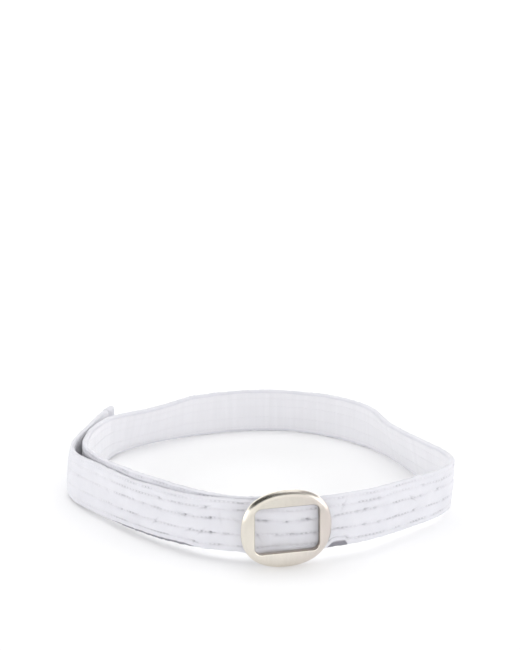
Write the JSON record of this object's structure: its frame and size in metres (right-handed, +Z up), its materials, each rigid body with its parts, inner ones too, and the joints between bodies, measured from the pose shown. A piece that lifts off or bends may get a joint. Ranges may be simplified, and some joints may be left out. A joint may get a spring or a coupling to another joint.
{
  "type": "martial arts belt",
  "caption": "Padded, row-stitched white cotton belt standing in a closed loop, fastened by a large cast slide buckle with a pivoting centre bar.",
  "frame": {"origin": "bottom centre of the bounding box, on the surface the belt stands on", "axes": "+Z up out of the loop, -Y towards the buckle, +X to the right seen from the buckle side"},
  "size_m": [0.3068, 0.3388, 0.056],
  "materials": {
    "cotton_cover": "woven cotton, puckered between stitch rows",
    "lining": "smooth woven cotton lining",
    "padding": "cotton batting",
    "thread": "spun sewing thread",
    "buckle_metal": "satin warm silver plating",
    "bar_steel": "drawn steel rod"
  },
  "bodies": {
    "strap_loop": {"loop_cover": "cotton_cover", "loop_padding": "padding", "loop_lining": "lining", "loop_stitch_row_1": "thread", "loop_stitch_row_2": "thread", "loop_stitch_row_3": "thread", "loop_stitch_row_4": "thread", "loop_stitch_row_5": "thread", "bar_fold": "cotton_cover", "bar_fold_stitch": "thread"},
    "buckle": {"buckle_frame": "buckle_metal", "buckle_bar": "bar_steel"},
    "tail": {"tail_cover": "cotton_cover", "tail_padding": "padding", "tail_lining": "lining", "tail_stitch_row_1": "thread", "tail_stitch_row_2": "thread", "tail_stitch_row_3": "thread", "tail_stitch_row_4": "thread", "tail_stitch_row_5": "thread"},
    "tail_end": {"tail_end_cover": "cotton_cover", "tail_end_padding": "padding", "tail_end_lining": "lining", "tail_end_stitch_row_1": "thread", "tail_end_stitch_row_2": "thread", "tail_end_stitch_row_3": "thread", "tail_end_stitch_row_4": "thread", "tail_end_stitch_row_5": "thread", "tail_hem": "cotton_cover", "tail_hem_stitch": "thread"}
  },
  "joints": [
    {"name": "buckle_pivot", "type": "hinge", "parent": "strap_loop", "child": "buckle", "pos_m": [0.01732, -0.14629, 0.028], "axis": [0, 0, 1], "range_deg": [-13, 0]},
    {"name": "strap_draw", "type": "slide", "parent": "strap_loop", "child": "tail", "axis": [-0.9903, -0.1392, 0], "range_m": [0, 0.01]},
    {"name": "tail_end_swing", "type": "hinge", "parent": "tail", "child": "tail_end", "pos_m": [-0.15005, -0.00938, 0.02], "axis": [0, 0, 1], "range_deg": [0, 35]}
  ]
}
